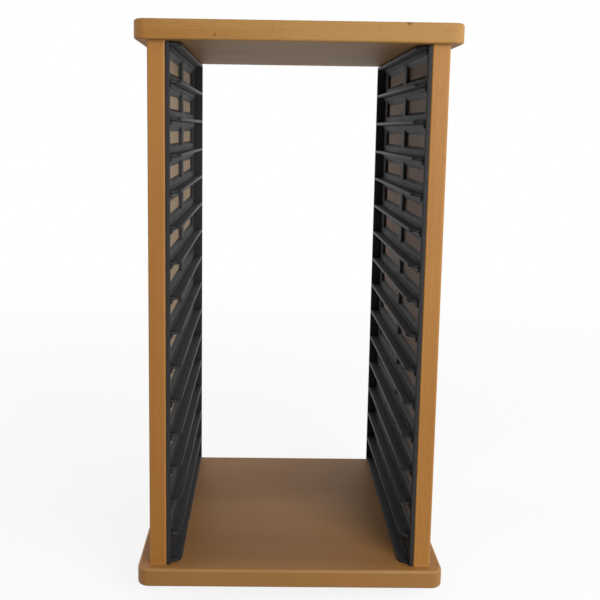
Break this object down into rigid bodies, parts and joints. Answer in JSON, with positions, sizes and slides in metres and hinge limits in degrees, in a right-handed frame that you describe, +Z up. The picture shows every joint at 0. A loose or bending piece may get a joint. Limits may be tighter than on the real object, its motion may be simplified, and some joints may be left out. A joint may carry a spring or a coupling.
{
  "type": "rotating media tower",
  "caption": "Small wooden disc tower: top and base boards, two side boards with black ribbed case racks, open front and back, turning on a ball-bearing swivel.",
  "frame": {"origin": "on the floor, below the middle of the tower's bounding box and on the swivel's axis", "axes": "+Z up, -Y towards the open front of the slots, +X to the right seen from the front"},
  "size_m": [0.1616, 0.155, 0.302],
  "materials": {
    "honey_wood": "honey-stained solid wood, satin varnish",
    "black_plastic": "black moulded plastic, fine texture",
    "black_screw": "blackened screw",
    "beech_dowel": "plain beech",
    "zinc_screw": "zinc-plated screw",
    "zinc_plate": "zinc-plated pressed steel",
    "nylon": "natural nylon",
    "bearing_steel": "polished steel",
    "foot_rubber": "black rubber"
  },
  "bodies": {
    "foot": {"swivel_lower_plate": "zinc_plate", "swivel_rivet": "zinc_plate", "front_left_foot": "foot_rubber", "front_right_foot": "foot_rubber", "back_left_foot": "foot_rubber", "back_right_foot": "foot_rubber"},
    "cage": {"ball_cage": "nylon", "bearing_balls": "bearing_steel"},
    "tower": {"top_panel": "honey_wood", "base_panel": "honey_wood", "left_side_panel": "honey_wood", "right_side_panel": "honey_wood", "left_rack": "black_plastic", "right_rack": "black_plastic", "left_rack_ribs": "black_plastic", "left_rack_screws": "black_screw", "left_top_dowels": "beech_dowel", "left_base_screws": "zinc_screw", "right_rack_ribs": "black_plastic", "right_rack_screws": "black_screw", "right_top_dowels": "beech_dowel", "right_base_screws": "zinc_screw", "swivel_upper_plate": "zinc_plate", "swivel_screws": "zinc_screw"}
  },
  "joints": [
    {"name": "tower_spin", "type": "hinge", "parent": "foot", "child": "tower", "pos_m": [0, 0, 0.006], "axis": [0, 0, 1], "continuous": true},
    {"name": "cage_spin", "type": "hinge", "parent": "foot", "child": "cage", "pos_m": [0, 0, 0.006], "axis": [0, 0, 1], "continuous": true}
  ],
  "couplings": [
    {"joint": "cage_spin", "follows": "tower_spin", "ratio": 0.5}
  ]
}
